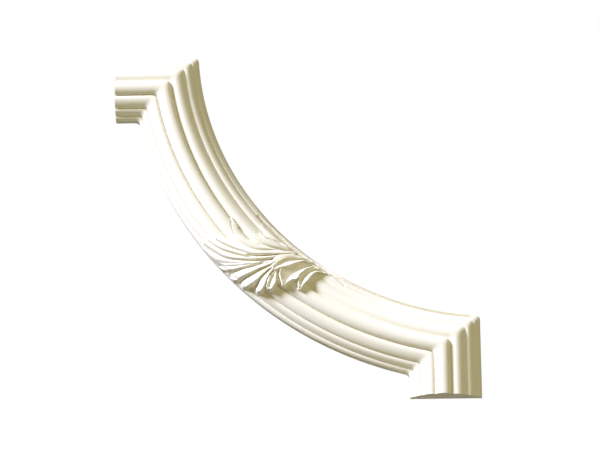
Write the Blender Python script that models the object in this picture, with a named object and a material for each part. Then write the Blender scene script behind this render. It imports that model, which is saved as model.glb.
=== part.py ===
"""Corner piece of a reeded panel moulding, with half an acanthus leaf over the middle of its arc.

One cast piece. Metres, +Z up, back on the plane Y = 0, carved front towards -Y.
The origin is on the back, under the middle of the arc, on the piece's 45 degree line of symmetry.
A place on the moulding is (along, across): along the arc from its middle, measured on the centre line and
growing towards the lower leg, and across from the hollow outer edge towards the round inner edge.
"""
import math

import bpy
import numpy as np

MM = 0.001

# Plan
WIDTH = 0.060
OVERALL = 0.3136
ARC_RADIUS = 0.2582
ARC_INSET = 0.0158
MITRE_ROUND = 0.0045

# Section
OUTER_HEIGHT = 0.0020
INNER_HEIGHT = 0.0046
REED_VALLEYS = ((0.0056, 0.0068), (0.0125, 0.0108), (0.0261, 0.0149),
                (0.0395, 0.0145), (0.0504, 0.0112), (0.0564, 0.0070))
REED_RISES = (0.13, 0.20, 0.20, 0.34, 0.28, 0.30, 0.32)
REED_FULLNESS = (0.62, 0.90, 1.20, 0.50, 0.55, 0.80, 0.62)

# Arch that the leaf lies on, as (across, height): it clears the inner reeds, so the tips there stand free.
LEAF_BED = ((0.0, 0.0020), (0.0036, 0.0056), (0.0100, 0.0112), (0.0200, 0.0170), (0.0332, 0.0200),
            (0.0450, 0.0180), (0.0530, 0.0138), (0.0600, 0.0066))

# Leaf lobes, all in millimetres: half width, its share left at the tip, crown, lean, lift over the bed at
# root and tip, and the places (along, across) that the lobe runs through from root to tip. The crown is how
# far a lobe's middle stands over its sides, and it is negative on a hollow lobe. The lean moves the middle
# sideways, as a share of the half width.
LOBES = {
    "stem": (2.6, 0.5, 1.0, 0, 2.2, 0.4, ((62, 4.8), (40, 6.0), (18, 7.2), (-2, 8.2), (-17, 8.8))),
    "tail": (2.0, 0.2, 1.0, 0, 3.4, -0.5, ((50, 5.5), (62, 4.8), (72, 5.2), (80, 7.8))),
    "top_1": (2.4, 0.4, 0.8, 0, 3.0, 0.6, ((14, 7.5), (0, 9.0), (-18, 9.4))),
    "top_2": (2.2, 0.4, 0.8, 0, 3.0, 0.6, ((16, 7.5), (0, 13.0), (-12, 15.8))),
    "top_3": (2.8, 0.4, 0.8, 0, 3.0, 0.8, ((18, 8.0), (4, 15.5), (-12, 21.5))),
    "top_4": (3.4, 0.4, 0.8, 0, 3.0, 0.6, ((22, 8.0), (6, 20.0), (-8, 28.0), (-22, 32.5))),
    "top_5": (2.0, 0.3, 0.7, 0, -1.0, -1.3, ((-17, 31.0), (-27, 28.6), (-39, 25.4))),
    "long_1": (3.4, 0.5, 1.6, 0.5, 3.5, 1.0, ((24, 7.5), (9, 21.5), (-3, 32.5), (-16, 39.0), (-33, 46.5))),
    "long_2": (2.6, 0.4, 1.6, 0.5, 2.0, 1.0, ((-4, 38.5), (-16, 44.2), (-26, 48.5), (-37, 52.5))),
    "long_3": (2.9, 0.4, 1.6, 0.5, 3.5, 1.0, ((24, 9.0), (8, 29.0), (-4, 41.0), (-18, 50.0), (-38, 56.2))),
    "long_4": (2.9, 0.4, 1.8, 0.5, 3.0, 1.0,
               ((14, 29.0), (2, 41.5), (-12, 53.0), (-25, 57.6), (-36, 59.4))),
    "fan_1": (3.6, 0.7, 2.2, 0.6, 3.2, 1.0,
              ((16, 27), (4.6, 40), (-3.6, 50), (-9.4, 55), (-13.6, 58.6))),
    "fan_2": (4.0, 0.8, 2.4, 0.7, 3.6, 1.6,
              ((16.8, 27), (14, 32.4), (8.2, 41.2), (4, 48.2), (1.2, 54), (-0.8, 57.6))),
    "fan_3": (3.6, 0.9, 2.6, 0.7, 3.0, 2.2,
              ((19.4, 28), (16.8, 34.4), (14.5, 42), (12.9, 48.8), (10.9, 54), (10, 56))),
    "fan_4": (2.9, 0.8, 2.0, 0.7, 2.4, 2.8,
              ((20.4, 30.0), (19.8, 38.0), (20.6, 45.0), (22.0, 49.0), (22.0, 52.6))),
    "fan_5": (3.4, 0.7, -2.2, -0.1, 1.4, 1.2, ((23.4, 32.0), (25.4, 38.6), (27.8, 45.4))),
    "rib": (3.2, 0.6, 0.6, 0.3, 3.4, 3.2, ((36, 5.2), (22.4, 12.0), (17.6, 20.6), (17.6, 28.6))),
    "curl_0": (3.9, 0.5, -1.9, 0.0, 3.0, 2.6,
               ((41, 4.2), (34.1, 8.0), (27.2, 16.6), (23.2, 24.2), (21.0, 30.4))),
    "curl_1": (8.4, 0.12, -4.2, 0.3, 0.4, 1.4,
               ((44, 4.2), (41, 8.6), (37.8, 14.6), (34.4, 22), (33.8, 29.6), (36.2, 37.2))),
    "curl_2": (4.4, 0.2, -2.6, 0, 0.8, 0.4,
               ((60, 4.2), (49.6, 8.8), (45.8, 17.0), (46.4, 24.8), (49.0, 32.2))),
}
ROOT_SHARE = 0.25
ROOT_GROWTH = 1.6
FULL_FROM = 0.6
FULL_TO = 0.72
CROWN_FROM = 0.25
CROWN_POWER = 1.5
HOLLOW_POWER = 1.15
LOBE_EDGE_SLOPE = 2.0
STATION_STEPS = 8

# Mesh steps
REED_STEP = 0.0019
REED_LEAST_STEPS = 4
LEAF_ZONE = (-0.044, 0.082)
LEAF_STEP = 0.0013
PLAIN_STEP = 0.012
MITRE_STEPS = 2
SOFTENING = 0.0010

COLOUR = (0.83, 0.80, 0.71, 1.0)
ROUGHNESS = 0.55
SHARP_ANGLE = math.radians(30)

CENTRE_LINE = ARC_RADIUS + WIDTH / 2
ARC_CENTRE = CENTRE_LINE / math.sqrt(2)
CORNER = ARC_CENTRE - ARC_INSET
CUT = CORNER - OVERALL
FAR_FROM_LEAF = 1.0


def through(stations, steps):
    """Smooth run of points through the stations: Catmull-Rom pieces with the end points repeated."""
    p = np.array([stations[0], *stations, stations[-1]], float)
    t = (np.arange(steps) / steps)[:, None]
    runs = []
    for a, b, c, d in zip(p, p[1:], p[2:], p[3:]):
        runs.append(0.5 * (2 * b + (c - a) * t + (2 * a - 5 * b + 4 * c - d) * t ** 2
                           + (3 * b - a - 3 * c + d) * t ** 3))
    return np.vstack([*runs, p[-1]])


def reeds():
    """Each reed: across and height of its first valley and of its second, rise between them, fullness."""
    knots = ((0.0, OUTER_HEIGHT), *REED_VALLEYS, (WIDTH, INNER_HEIGHT))
    return [(*first, *second, rise * (second[0] - first[0]), fullness)
            for first, second, rise, fullness in zip(knots, knots[1:], REED_RISES, REED_FULLNESS)]


def reed_height(across):
    """Section of the plain moulding: one round reed between each two valleys."""
    height = np.zeros_like(across)
    for s0, z0, s1, z1, rise, fullness in reeds():
        t = np.clip((across - s0) / (s1 - s0), 0, 1)
        reed = z0 + (z1 - z0) * t + rise * (4 * t * (1 - t)) ** fullness
        height = np.where((across >= s0) & (across <= s1), reed, height)
    return height


def bed_height(across):
    """Smooth arch over the reeds, on which the leaf lies."""
    line = through(LEAF_BED, STATION_STEPS)
    return np.interp(across, line[:, 0], line[:, 1])


def nearest_on(places, along, across):
    """Distance from the run through the places, negative on its left, and the share of its length there."""
    line = through(places, STATION_STEPS) * MM
    lengths = np.hypot(*np.diff(line, axis=0).T)
    done = np.concatenate([[0.0], np.cumsum(lengths)]) / lengths.sum()
    nearest = np.full(along.shape, np.inf)
    share = np.zeros(along.shape)
    for a, b, from_share, to_share in zip(line, line[1:], done, done[1:]):
        run = b - a
        t = ((along - a[0]) * run[0] + (across - a[1]) * run[1]) / max(run @ run, 1e-12)
        t = np.clip(t, 0, 1)
        distance = np.hypot(along - a[0] - t * run[0], across - a[1] - t * run[1])
        side = np.where((along - a[0]) * run[1] < (across - a[1]) * run[0], -1, 1)
        closer = distance < np.abs(nearest)
        nearest = np.where(closer, side * distance, nearest)
        share = np.where(closer, from_share + t * (to_share - from_share), share)
    return nearest, share


def lobe_height(half_width, tip_share, crown, lean, root_lift, tip_lift, places, along, across):
    """Height of one lobe of the leaf, which falls away steeply beyond its sides."""
    distance, share = nearest_on(places, along, across)
    growth = ROOT_SHARE + (1 - ROOT_SHARE) * np.minimum(share / FULL_FROM, 1) ** ROOT_GROWTH
    width = half_width * MM * growth * np.interp(share, (FULL_TO, 1), (1, tip_share))
    lift = root_lift + (tip_lift - root_lift) * share
    q = np.clip(distance / width, -1, 1)
    q = np.where(q < lean, (lean - q) / (1 + lean), (q - lean) / (1 - lean))
    shape = -crown * q ** (CROWN_POWER if crown > 0 else HOLLOW_POWER) * np.minimum(share / CROWN_FROM, 1)
    fall = LOBE_EDGE_SLOPE * np.maximum(np.abs(distance) - width, 0)
    return bed_height(across) + (lift + shape) * MM - fall


def leaf_lift(along, across):
    """How far the leaf stands over the reeds."""
    reed = reed_height(across)
    height = reed
    for lobe in LOBES.values():
        height = np.maximum(height, lobe_height(*lobe, along, across))
    return height - reed


def surface_height(along, across):
    """Reeds with the leaf over them, each point of the leaf softened with the places around it."""
    shifts = [(a * SOFTENING, b * SOFTENING) for a in (-1, 0, 1) for b in (-1, 0, 1)]
    lifts = [leaf_lift(along + a, np.clip(across + b, 0, WIDTH)) for a, b in shifts]
    return reed_height(across) + np.mean(lifts, axis=0)


def across_lines():
    """Grid lines across the moulding: one in each valley, and closer there than on the crests."""
    lines = [0.0]
    for s0, _, s1, *_ in reeds():
        count = max(REED_LEAST_STEPS, round((s1 - s0) / REED_STEP))
        for step in range(1, count + 1):
            even = step / count
            eased = math.sin(even * math.pi / 2) ** 2
            lines.append(s0 + (s1 - s0) * (even + eased) / 2)
    return np.array(lines)


def mitre_angle(across):
    """Half angle of the arc where it meets a leg, which depends on the distance from the outer edge."""
    return math.pi / 4 - np.arcsin((ARC_INSET + across) / (ARC_RADIUS + across))


def arc_shares():
    """Grid lines along the arc, as shares of the half angle: close under the leaf, wide elsewhere."""
    reach = mitre_angle(WIDTH / 2) * CENTRE_LINE
    start, end = LEAF_ZONE
    before = np.linspace(-reach, start, round((start + reach) / PLAIN_STEP) + 1)
    leaf = np.linspace(start, end, round((end - start) / LEAF_STEP) + 1)
    after = np.linspace(end, reach, round((reach - end) / PLAIN_STEP) + 1)
    return np.concatenate([before, leaf[1:-1], after]) / reach


def on_arc(angle, across):
    direction = angle + 1.25 * math.pi
    radius = ARC_RADIUS + across
    return np.stack([ARC_CENTRE + radius * np.cos(direction), ARC_CENTRE + radius * np.sin(direction)], -1)


def plan_grid():
    """Rows of plan points (X, Z) with their place along the arc, from the left cut to the lower cut."""
    across = across_lines()
    corner_angle = mitre_angle(across)
    round_angle = MITRE_ROUND / (ARC_RADIUS + across)
    arc_angle = corner_angle - round_angle
    far = np.full_like(across, FAR_FROM_LEAF)
    middle = [(on_arc(share * arc_angle, across), share * arc_angle * CENTRE_LINE) for share in arc_shares()]
    left_corner = on_arc(-corner_angle, across)
    leg_in = left_corner - [MITRE_ROUND, 0.0]
    leg_end = np.stack([np.full_like(across, CUT), CORNER - across], -1)
    arc_in = on_arc(-arc_angle, across)
    left = [(leg_end, -far), ((leg_end + leg_in) / 2, -far)]
    for step in range(MITRE_STEPS):
        t = step / MITRE_STEPS
        left.append(((1 - t) ** 2 * leg_in + 2 * t * (1 - t) * left_corner + t ** 2 * arc_in, -far))
    right = [(points[:, ::-1], far) for points, _ in reversed(left)]
    return across, [*left, *middle, *right]


def corner_mesh():
    across, rows = plan_grid()
    plan = np.array([points for points, _ in rows])
    along = np.array([place for _, place in rows])
    across = np.broadcast_to(across, along.shape)
    height = surface_height(along, across)
    count, width = along.shape
    front = np.stack([plan[..., 0], -height, plan[..., 1]], -1).reshape(-1, 3)
    edges = []
    for column in (0, -1):
        edges.append(np.stack([plan[:, column, 0], np.zeros(count), plan[:, column, 1]], -1))
    points = np.vstack([front, *edges])
    outer0 = count * width
    inner0 = outer0 + count
    faces = []
    for r in range(count - 1):
        for c in range(width - 1):
            a = r * width + c
            faces.append((a, a + 1, a + width + 1, a + width))
        a, b = r * width, (r + 1) * width
        faces.append((outer0 + r, a, b, outer0 + r + 1))
        faces.append((inner0 + r, inner0 + r + 1, b + width - 1, a + width - 1))
        faces.append((outer0 + r, outer0 + r + 1, inner0 + r + 1, inner0 + r))
    faces.append((inner0, *reversed(range(width)), outer0))
    faces.append((outer0 + count - 1, *range((count - 1) * width, count * width), inner0 + count - 1))
    mesh = bpy.data.meshes.new("corner_moulding")
    mesh.from_pydata(points.tolist(), [], faces)
    mesh.validate()
    mesh.shade_smooth()
    mesh.set_sharp_from_angle(angle=SHARP_ANGLE)
    return mesh


def primed_foam():
    material = bpy.data.materials.new("primed_foam")
    material.use_nodes = True
    shader = material.node_tree.nodes["Principled BSDF"]
    shader.inputs["Base Color"].default_value = COLOUR
    shader.inputs["Roughness"].default_value = ROUGHNESS
    shader.inputs["Metallic"].default_value = 0.0
    return material


def main():
    for thing in list(bpy.data.objects):
        bpy.data.objects.remove(thing)
    mesh = corner_mesh()
    mesh.materials.append(primed_foam())
    moulding = bpy.data.objects.new("corner_moulding", mesh)
    bpy.context.scene.collection.objects.link(moulding)


main()
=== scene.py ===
"""Looks of the moulding corner piece: the finely carved surface, its primed finish, and a plain studio.

A place on the moulding is (along, across): along the arc from its middle, measured on the centre line and
growing towards the lower leg, and across from the hollow outer edge towards the round inner edge. Metres.
"""
import math

import bpy
import numpy as np
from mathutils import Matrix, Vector


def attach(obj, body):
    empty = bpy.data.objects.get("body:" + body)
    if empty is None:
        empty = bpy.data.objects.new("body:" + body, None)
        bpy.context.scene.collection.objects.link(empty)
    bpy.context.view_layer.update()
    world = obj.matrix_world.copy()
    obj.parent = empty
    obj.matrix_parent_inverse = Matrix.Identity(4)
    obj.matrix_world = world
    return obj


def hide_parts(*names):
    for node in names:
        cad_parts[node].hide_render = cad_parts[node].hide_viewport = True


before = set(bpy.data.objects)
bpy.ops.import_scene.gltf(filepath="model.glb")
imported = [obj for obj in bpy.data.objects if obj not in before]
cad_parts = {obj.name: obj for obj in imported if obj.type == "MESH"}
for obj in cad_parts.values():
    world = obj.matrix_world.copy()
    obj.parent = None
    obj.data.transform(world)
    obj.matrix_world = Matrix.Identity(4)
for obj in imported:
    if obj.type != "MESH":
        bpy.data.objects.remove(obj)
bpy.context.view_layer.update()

MM = 0.001
LEAST_SQUARE = 1e-12

# Plan
WIDTH = 0.060
OVERALL = 0.3136
ARC_RADIUS = 0.2582
ARC_INSET = 0.0158
ARC_MIDDLE = math.radians(225)
MITRE_ROUND = 0.0045

# Section, with each valley as (across, height), and each reed's rise as a share of its width
OUTER_HEIGHT = 0.0020
INNER_HEIGHT = 0.0046
REED_VALLEYS = ((0.0056, 0.0068), (0.0125, 0.0108), (0.0261, 0.0149),
                (0.0395, 0.0145), (0.0504, 0.0112), (0.0564, 0.0070))
REED_RISES = (0.13, 0.20, 0.20, 0.34, 0.28, 0.30, 0.32)
REED_FULLNESS = (0.62, 0.90, 1.20, 0.50, 0.55, 0.80, 0.62)

# Arch that the leaf lies on, as (across, height): it clears the inner reeds, so the tips there stand free.
LEAF_BED = ((0.0, 0.0020), (0.0036, 0.0056), (0.0100, 0.0112), (0.0200, 0.0170), (0.0332, 0.0200),
            (0.0450, 0.0180), (0.0530, 0.0138), (0.0600, 0.0066))

# Leaf lobes, all in millimetres: half width, its share left at the tip, crown, lean, lift over the bed at
# root and tip, and the places (along, across) that the lobe runs through from root to tip. The crown is how
# far a lobe's middle stands over its sides, and it is negative on a hollow lobe. The lean moves the middle
# sideways, as a share of the half width.
LOBES = {
    "stem": (2.6, 0.5, 1, 0, 2.2, 0.4, ((62, 4.8), (40, 6), (18, 7.2), (-2, 8.2), (-17, 8.8))),
    "tail": (2, 0.2, 1, 0, 3.4, -0.5, ((50, 5.5), (62, 4.8), (72, 5.2), (80, 7.8))),
    "top_1": (2.4, 0.4, 0.8, 0, 3, 0.6, ((14, 7.5), (0, 9), (-18, 9.4))),
    "top_2": (2.2, 0.4, 0.8, 0, 3, 0.6, ((16, 7.5), (0, 13), (-12, 15.8))),
    "top_3": (2.8, 0.4, 0.8, 0, 3, 0.8, ((18, 8), (4, 15.5), (-12, 21.5))),
    "top_4": (3.4, 0.4, 0.8, 0, 3, 0.6, ((22, 8), (6, 20), (-8, 28), (-22, 32.5))),
    "top_5": (2, 0.3, 0.7, 0, -1, -1.3, ((-17, 31), (-27, 28.6), (-39, 25.4))),
    "long_1": (3.4, 0.5, 1.6, 0.5, 3.5, 1, ((24, 7.5), (9, 21.5), (-3, 32.5), (-16, 39), (-33, 46.5))),
    "long_2": (2.6, 0.4, 1.6, 0.5, 2, 1, ((-4, 38.5), (-16, 44.2), (-26, 48.5), (-37, 52.5))),
    "long_3": (2.9, 0.4, 1.6, 0.5, 3.5, 1, ((24, 9), (8, 29), (-4, 41), (-18, 50), (-38, 56.2))),
    "long_4": (2.9, 0.4, 1.8, 0.5, 3, 1, ((14, 29), (2, 41.5), (-12, 53), (-25, 57.6), (-36, 59.4))),
    "fan_1": (3.6, 0.7, 2.2, 0.6, 3.2, 1, ((16, 27), (4.6, 40), (-3.6, 50), (-9.4, 55), (-13.6, 58.6))),
    "fan_2": (4, 0.8, 2.4, 0.7, 3.6, 1.6,
              ((16.8, 27), (14, 32.4), (8.2, 41.2), (4, 48.2), (1.2, 54), (-0.8, 57.6))),
    "fan_3": (3.6, 0.9, 2.6, 0.7, 3, 2.2,
              ((19.4, 28), (16.8, 34.4), (14.5, 42), (12.9, 48.8), (10.9, 54), (10, 56))),
    "fan_4": (2.9, 0.8, 2, 0.7, 2.4, 2.8, ((20.4, 30), (19.8, 38), (20.6, 45), (22, 49), (22, 52.6))),
    "fan_5": (3.4, 0.7, -2.2, -0.1, 1.4, 1.2, ((23.4, 32), (25.4, 38.6), (27.8, 45.4))),
    "rib": (3.2, 0.6, 0.6, 0.3, 3.4, 3.2, ((36, 5.2), (22.4, 12), (17.6, 20.6), (17.6, 28.6))),
    "curl_0": (3.9, 0.5, -1.9, 0, 3, 2.6, ((41, 4.2), (34.1, 8), (27.2, 16.6), (23.2, 24.2), (21, 30.4))),
    "curl_1": (8.4, 0.12, -3.5, 0.3, 0.4, 0.6,
               ((44, 4.2), (41, 8.6), (37.8, 14.6), (34.4, 22), (33.8, 29.6), (36.2, 37.2))),
    "curl_2": (4.4, 0.2, -2.6, 0, 0.8, 0.4, ((60, 4.2), (49.6, 8.8), (45.8, 17), (46.4, 24.8), (49, 32.2))),
}

# How every lobe widens from its root, narrows to its tip, is rounded or hollowed, and falls off at its sides
ROOT_SHARE = 0.25
ROOT_GROWTH = 1.6
FULL_FROM = 0.6
FULL_TO = 0.72
CROWN_FROM = 0.25
CROWN_POWER = 1.5
HOLLOW_POWER = 1.15
LOBE_EDGE_SLOPE = 4.0
STATION_STEPS = 8

# Cuts in millimetres, along the outer edge and between lobes: half width, depth, and the places that the cut
# runs through. A cut fades out over a share of its length at both ends.
CUTS = {
    "bead": (1.5, 4, ((-30, 5.6), (0, 4.4), (18, 4), (46, 3))),
    "rim": (2, 1.6, ((-36, 0), (0, 0), (36, 0), (70, 0))),
    "lip": (1.4, 3.4, ((34, 1.8), (90, 1.8), (150, 1.8), (240, 1.8))),
    "tail": (1, 2, ((40, 2.8), (57, 3), (66.8, 4.2), (73.8, 4.9), (80, 8))),
    "top_1": (1, 0.8, ((-14, 12.9), (-3, 12.1), (15, 6.4))),
    "top_2": (1, 0.8, ((-7, 17.6), (2, 10.9), (12, 8))),
    "top_3": (2.2, 1, ((-6, 24), (8, 16.1), (21, 5.5))),
    "top_4": (1, 0.8, ((-16, 29.4), (-7, 24.8), (0, 21.5))),
    "top_5": (1, 0.5, ((-37, 28.2), (-28.6, 31.8), (-19, 32.8))),
    "long_1": (1, 1.1, ((-20, 36.5), (-7, 31.5), (0, 27.3), (9, 18), (21, 5.5))),
    "long_2": (1, 1.1, ((-36, 51.6), (-23.4, 45.3), (-15, 41.5), (-2, 34.6))),
    "long_3": (1.1, 1.6,
               ((-39, 54.8), (-25.5, 51.1), (-15.3, 46.8), (-7.8, 42.4), (1.7, 34), (10, 24.3), (27, 4.5))),
    "long_4": (1, 1.2, ((-42, 58.6), (-30, 56.6), (-20, 54), (-10.8, 48.9), (2, 38.2))),
    "long_5": (1.1, 1.6, ((-20, 58), (-13.4, 54.9), (-1, 45))),
    "nick_1": (1.2, 2, ((-16.5, 58.8), (-8.4, 57.4))),
    "fan_1": (1.2, 1.8, ((-6, 57.6), (-0.4, 50.2), (7.1, 39.7), (14, 26.5))),
    "nick_2": (1.2, 1.8, ((-6.4, 58.6), (-1.8, 58.1), (3.6, 56.5))),
    "fan_4": (1, 1.6, ((25, 48), (22.4, 39.6), (21.8, 32))),
}
CUT_FADE = 0.25
CUT_FADE_POWER = 0.5

# Mesh steps
ACROSS_STEP = 0.00042
LEAF_ZONE = (-0.044, 0.082)
LEAF_STEP = 0.00042
PLAIN_STEP = 0.0030
MITRE_STEPS = 8
SHARP_ANGLE = math.radians(40)

# Worked out from the plan
CENTRE_LINE = ARC_RADIUS + WIDTH / 2
ARC_CENTRE = CENTRE_LINE / math.sqrt(2)
CORNER = ARC_CENTRE - ARC_INSET
CUT = CORNER - OVERALL

# Place along the arc that the legs are given, beyond every lobe and cut
FAR_FROM_LEAF = 1.0

# Camera, fitted to the photograph's outline, with its turn in degrees
CAMERA_PLACE = (0.1211, -1.8601, -0.6185)
CAMERA_TURN = (109.22, 0.113, 2.670)
CAMERA_LENS = 137.19
CAMERA_SENSOR = 36.0
CAMERA_REACH = 20.0

# Suns: where the light comes from, strength, colour, and spread in degrees
SUNS = {
    "key": ((-0.729, -0.400, 0.556), 6.6, (0.95, 1.0, 1.33), 16),
    "front": ((0.0, -1.0, 0.0), 0.66, (1.0, 0.90, 0.36), 100),
    "right": ((0.85, -0.43, 0.30), 0.90, (1.0, 0.95, 0.72), 100),
}

# Studio
FILL_COLOUR = (1.0, 0.84, 0.42, 1.0)
FILL_STRENGTH = 0.01
BACKDROP_COLOUR = (1.0, 1.0, 1.0, 1.0)
BACKDROP_STRENGTH = 1.0
FLOOR_HEIGHT = -1.50
FLOOR_SIZE = 1.4
FLOOR_COLOUR = (0.86, 0.79, 0.56, 1.0)

# Finish
PRIMER_LIGHT = (0.86, 0.82, 0.67, 1.0)
PRIMER_DARK = (0.83, 0.78, 0.63, 1.0)
PRIMER_ROUGHNESS = 0.6
CLOUD_SCALE = 28.0
CLOUD_DETAIL = 4.0
GRAIN_SCALE = 650.0
GRAIN_DETAIL = 3.0
GRAIN_DEPTH = 0.0002
GRAIN_STRENGTH = 0.25


def through(stations, steps):
    """Smooth run of points through the stations: Catmull-Rom pieces with the end points repeated."""
    knots = np.array([stations[0], *stations, stations[-1]], float)
    t = (np.arange(steps) / steps)[:, None]
    runs = []
    for a, b, c, d in zip(knots, knots[1:], knots[2:], knots[3:]):
        runs.append(0.5 * (2 * b + (c - a) * t + (2 * a - 5 * b + 4 * c - d) * t ** 2
                           + (3 * b - a - 3 * c + d) * t ** 3))
    return np.vstack([*runs, knots[-1]])


def reeds():
    """Each reed: across and height of its first valley and of its second, rise between them, fullness."""
    knots = ((0.0, OUTER_HEIGHT), *REED_VALLEYS, (WIDTH, INNER_HEIGHT))
    return [(*first, *second, rise * (second[0] - first[0]), fullness)
            for first, second, rise, fullness in zip(knots, knots[1:], REED_RISES, REED_FULLNESS)]


def reed_height(across):
    """Section of the plain moulding: one round reed between each two valleys."""
    height = np.zeros_like(across)
    for s0, z0, s1, z1, rise, fullness in reeds():
        t = np.clip((across - s0) / (s1 - s0), 0, 1)
        reed = z0 + (z1 - z0) * t + rise * (4 * t * (1 - t)) ** fullness
        height = np.where((across >= s0) & (across <= s1), reed, height)
    return height


def bed_height(across):
    """Smooth arch over the reeds, on which the leaf lies."""
    line = through(LEAF_BED, STATION_STEPS)
    return np.interp(across, line[:, 0], line[:, 1])


def nearest_on(places, along, across):
    """Distance from the run through the places, negative on its left, and the share of its length there."""
    line = through(places, STATION_STEPS) * MM
    lengths = np.hypot(*np.diff(line, axis=0).T)
    done = np.concatenate([[0.0], np.cumsum(lengths)]) / lengths.sum()
    nearest = np.full(along.shape, np.inf)
    share = np.zeros(along.shape)
    for a, b, from_share, to_share in zip(line, line[1:], done, done[1:]):
        run = b - a
        t = ((along - a[0]) * run[0] + (across - a[1]) * run[1]) / max(run @ run, LEAST_SQUARE)
        t = np.clip(t, 0, 1)
        distance = np.hypot(along - a[0] - t * run[0], across - a[1] - t * run[1])
        side = np.where((along - a[0]) * run[1] < (across - a[1]) * run[0], -1, 1)
        closer = distance < np.abs(nearest)
        nearest = np.where(closer, side * distance, nearest)
        share = np.where(closer, from_share + t * (to_share - from_share), share)
    return nearest, share


def lobe_height(half_width, tip_share, crown, lean, root_lift, tip_lift, places, along, across):
    """Height of one lobe of the leaf, which falls away steeply beyond its sides."""
    distance, share = nearest_on(places, along, across)
    growth = ROOT_SHARE + (1 - ROOT_SHARE) * np.minimum(share / FULL_FROM, 1) ** ROOT_GROWTH
    width = half_width * MM * growth * np.interp(share, (FULL_TO, 1), (1, tip_share))
    lift = root_lift + (tip_lift - root_lift) * share
    side = np.clip(distance / width, -1, 1)
    from_middle = np.where(side < lean, (lean - side) / (1 + lean), (side - lean) / (1 - lean))
    power = CROWN_POWER if crown > 0 else HOLLOW_POWER
    shape = -crown * from_middle ** power * np.minimum(share / CROWN_FROM, 1)
    fall = LOBE_EDGE_SLOPE * np.maximum(np.abs(distance) - width, 0)
    return bed_height(across) + (lift + shape) * MM - fall


def cut_depth(half_width, depth, places, along, across):
    """Depth of one V-shaped cut."""
    distance, share = nearest_on(places, along, across)
    strength = np.clip(np.minimum(share, 1 - share) / CUT_FADE, 0, 1) ** CUT_FADE_POWER
    return depth * MM * strength * np.maximum(1 - np.abs(distance) / (half_width * MM), 0)


def surface_height(along, across):
    """Reeds with the leaf's lobes over them, less the cuts."""
    height = reed_height(across)
    for lobe in LOBES.values():
        height = np.maximum(height, lobe_height(*lobe, along, across))
    for cut in CUTS.values():
        height = height - cut_depth(*cut, along, across)
    return height


def across_lines():
    """Grid lines across the moulding, with one in each valley."""
    lines = [0.0]
    for s0, _, s1, *_ in reeds():
        count = round((s1 - s0) / ACROSS_STEP)
        lines.extend(s0 + (s1 - s0) * (i + 1) / count for i in range(count))
    return np.array(lines)


def mitre_angle(across):
    """Half angle of the arc where it meets a leg, which depends on the distance from the outer edge."""
    return math.pi / 4 - np.arcsin((ARC_INSET + across) / (ARC_RADIUS + across))


def arc_shares():
    """Grid lines along the arc, as shares of the half angle: close under the leaf, wide elsewhere."""
    reach = mitre_angle(WIDTH / 2) * CENTRE_LINE
    start, end = LEAF_ZONE
    before = np.linspace(-reach, start, round((start + reach) / PLAIN_STEP) + 1)
    leaf = np.linspace(start, end, round((end - start) / LEAF_STEP) + 1)
    after = np.linspace(end, reach, round((reach - end) / PLAIN_STEP) + 1)
    return np.concatenate([before, leaf[1:-1], after]) / reach


def on_arc(angle, across):
    """Plan points (X, Z) at an angle from the middle of the arc."""
    direction = ARC_MIDDLE + angle
    radius = ARC_RADIUS + across
    return np.stack([ARC_CENTRE + radius * np.cos(direction), ARC_CENTRE + radius * np.sin(direction)], -1)


def plan_grid():
    """Rows of plan points (X, Z) with their place along the arc, from the left cut to the lower cut."""
    across = across_lines()
    corner_angle = mitre_angle(across)
    arc_angle = corner_angle - MITRE_ROUND / (ARC_RADIUS + across)
    far = np.full_like(across, FAR_FROM_LEAF)
    middle = []
    for share in arc_shares():
        angle = share * arc_angle
        middle.append((on_arc(angle, across), angle * CENTRE_LINE))
    left_corner = on_arc(-corner_angle, across)
    leg_in = left_corner - [MITRE_ROUND, 0.0]
    leg_end = np.stack([np.full_like(across, CUT), CORNER - across], -1)
    arc_in = on_arc(-arc_angle, across)
    left = [(leg_end, -far), ((leg_end + leg_in) / 2, -far)]
    for step in range(MITRE_STEPS):
        t = step / MITRE_STEPS
        left.append(((1 - t) ** 2 * leg_in + 2 * t * (1 - t) * left_corner + t ** 2 * arc_in, -far))
    right = [(points[:, ::-1], far) for points, _ in reversed(left)]
    return across, [*left, *middle, *right]


def moulding_points():
    """Points of the front, then of the back's outer and inner edge, with the count of rows and columns."""
    across, grid = plan_grid()
    plan = np.array([points for points, _ in grid])
    along = np.array([place for _, place in grid])
    height = surface_height(along, np.broadcast_to(across, along.shape))
    front = np.stack([plan[..., 0], -height, plan[..., 1]], -1)
    back = np.stack([plan[..., 0], np.zeros_like(height), plan[..., 1]], -1)
    rows, columns = along.shape
    return np.vstack([front.reshape(-1, 3), back[:, 0], back[:, -1]]), rows, columns


def moulding_faces(rows, columns):
    """Faces of the front, the outer and inner edge and the back, row by row, then of the two cut ends."""
    outer = rows * columns
    inner = outer + rows
    faces = []
    for row in range(rows - 1):
        here = row * columns
        after = here + columns
        for column in range(columns - 1):
            faces.append((here + column, here + column + 1, after + column + 1, after + column))
        faces.append((outer + row, here, after, outer + row + 1))
        faces.append((inner + row, inner + row + 1, after + columns - 1, here + columns - 1))
        faces.append((outer + row, outer + row + 1, inner + row + 1, inner + row))
    first_row = range(columns)
    last_row = range(outer - columns, outer)
    faces.append((inner, *reversed(first_row), outer))
    faces.append((outer + rows - 1, *last_row, inner + rows - 1))
    return faces


def moulding_mesh():
    points, rows, columns = moulding_points()
    mesh = bpy.data.meshes.new("carved_moulding")
    mesh.from_pydata(points.tolist(), [], moulding_faces(rows, columns))
    mesh.validate()
    mesh.shade_smooth()
    mesh.set_sharp_from_angle(angle=SHARP_ANGLE)
    return mesh


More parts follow.
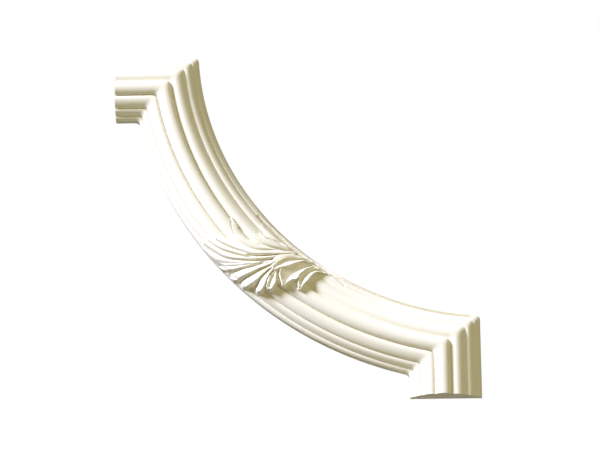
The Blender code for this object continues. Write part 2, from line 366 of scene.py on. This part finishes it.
def primer():
    """Matt primer brushed on cast foam."""
    material = bpy.data.materials.new("primer")
    material.use_nodes = True
    nodes, links = material.node_tree.nodes, material.node_tree.links
    place = nodes.new("ShaderNodeTexCoord")

    def noise(scale, detail):
        texture = nodes.new("ShaderNodeTexNoise")
        texture.inputs["Scale"].default_value = scale
        texture.inputs["Detail"].default_value = detail
        links.new(place.outputs["Object"], texture.inputs["Vector"])
        return texture

    tint = nodes.new("ShaderNodeMix")
    tint.data_type = "RGBA"
    tint.inputs["A"].default_value = PRIMER_LIGHT
    tint.inputs["B"].default_value = PRIMER_DARK
    links.new(noise(CLOUD_SCALE, CLOUD_DETAIL).outputs["Fac"], tint.inputs["Factor"])
    bump = nodes.new("ShaderNodeBump")
    bump.inputs["Strength"].default_value = GRAIN_STRENGTH
    bump.inputs["Distance"].default_value = GRAIN_DEPTH
    links.new(noise(GRAIN_SCALE, GRAIN_DETAIL).outputs["Fac"], bump.inputs["Height"])
    shader = nodes["Principled BSDF"]
    shader.inputs["Roughness"].default_value = PRIMER_ROUGHNESS
    links.new(tint.outputs["Result"], shader.inputs["Base Color"])
    links.new(bump.outputs["Normal"], shader.inputs["Normal"])
    return material


def add_object(name, data):
    thing = bpy.data.objects.new(name, data)
    bpy.context.scene.collection.objects.link(thing)
    return thing


def add_moulding():
    mesh = moulding_mesh()
    mesh.materials.append(primer())
    moulding = add_object("carved_moulding", mesh)
    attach(moulding, "root")
    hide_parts("corner_moulding")


def add_camera():
    data = bpy.data.cameras.new("camera")
    data.sensor_width = CAMERA_SENSOR
    data.lens = CAMERA_LENS
    data.clip_end = CAMERA_REACH
    camera = add_object("camera", data)
    camera.location = CAMERA_PLACE
    camera.rotation_euler = [math.radians(turn) for turn in CAMERA_TURN]
    bpy.context.scene.camera = camera


def add_sun(name, source, strength, colour, spread):
    data = bpy.data.lights.new(name, "SUN")
    data.energy = strength
    data.color = colour
    data.angle = math.radians(spread)
    light = add_object(name, data)
    light.rotation_euler = Vector(source).to_track_quat("Z", "Y").to_euler()


def add_world():
    """White backdrop for the camera, with a much weaker warm fill on the surfaces."""
    world = bpy.data.worlds.new("studio")
    bpy.context.scene.world = world
    world.use_nodes = True
    nodes, links = world.node_tree.nodes, world.node_tree.links
    fill = nodes["Background"]
    fill.inputs["Color"].default_value = FILL_COLOUR
    fill.inputs["Strength"].default_value = FILL_STRENGTH
    backdrop = nodes.new("ShaderNodeBackground")
    backdrop.inputs["Color"].default_value = BACKDROP_COLOUR
    backdrop.inputs["Strength"].default_value = BACKDROP_STRENGTH
    path = nodes.new("ShaderNodeLightPath")
    mix = nodes.new("ShaderNodeMixShader")
    links.new(path.outputs["Is Camera Ray"], mix.inputs["Fac"])
    links.new(fill.outputs["Background"], mix.inputs[1])
    links.new(backdrop.outputs["Background"], mix.inputs[2])
    links.new(mix.outputs["Shader"], nodes["World Output"].inputs["Surface"])


def add_floor():
    """Square floor far below the piece, which throws a little warm light up on it."""
    half = FLOOR_SIZE / 2
    corners = [(x * half, y * half, FLOOR_HEIGHT) for x, y in ((-1, -1), (1, -1), (1, 1), (-1, 1))]
    mesh = bpy.data.meshes.new("floor")
    mesh.from_pydata(corners, [], [(0, 1, 2, 3)])
    material = bpy.data.materials.new("floor")
    material.use_nodes = True
    material.node_tree.nodes["Principled BSDF"].inputs["Base Color"].default_value = FLOOR_COLOUR
    mesh.materials.append(material)
    add_object("floor", mesh)


bpy.context.scene.view_settings.view_transform = "Standard"
add_camera()
for sun, settings in SUNS.items():
    add_sun(sun, *settings)
add_world()
add_floor()
add_moulding()
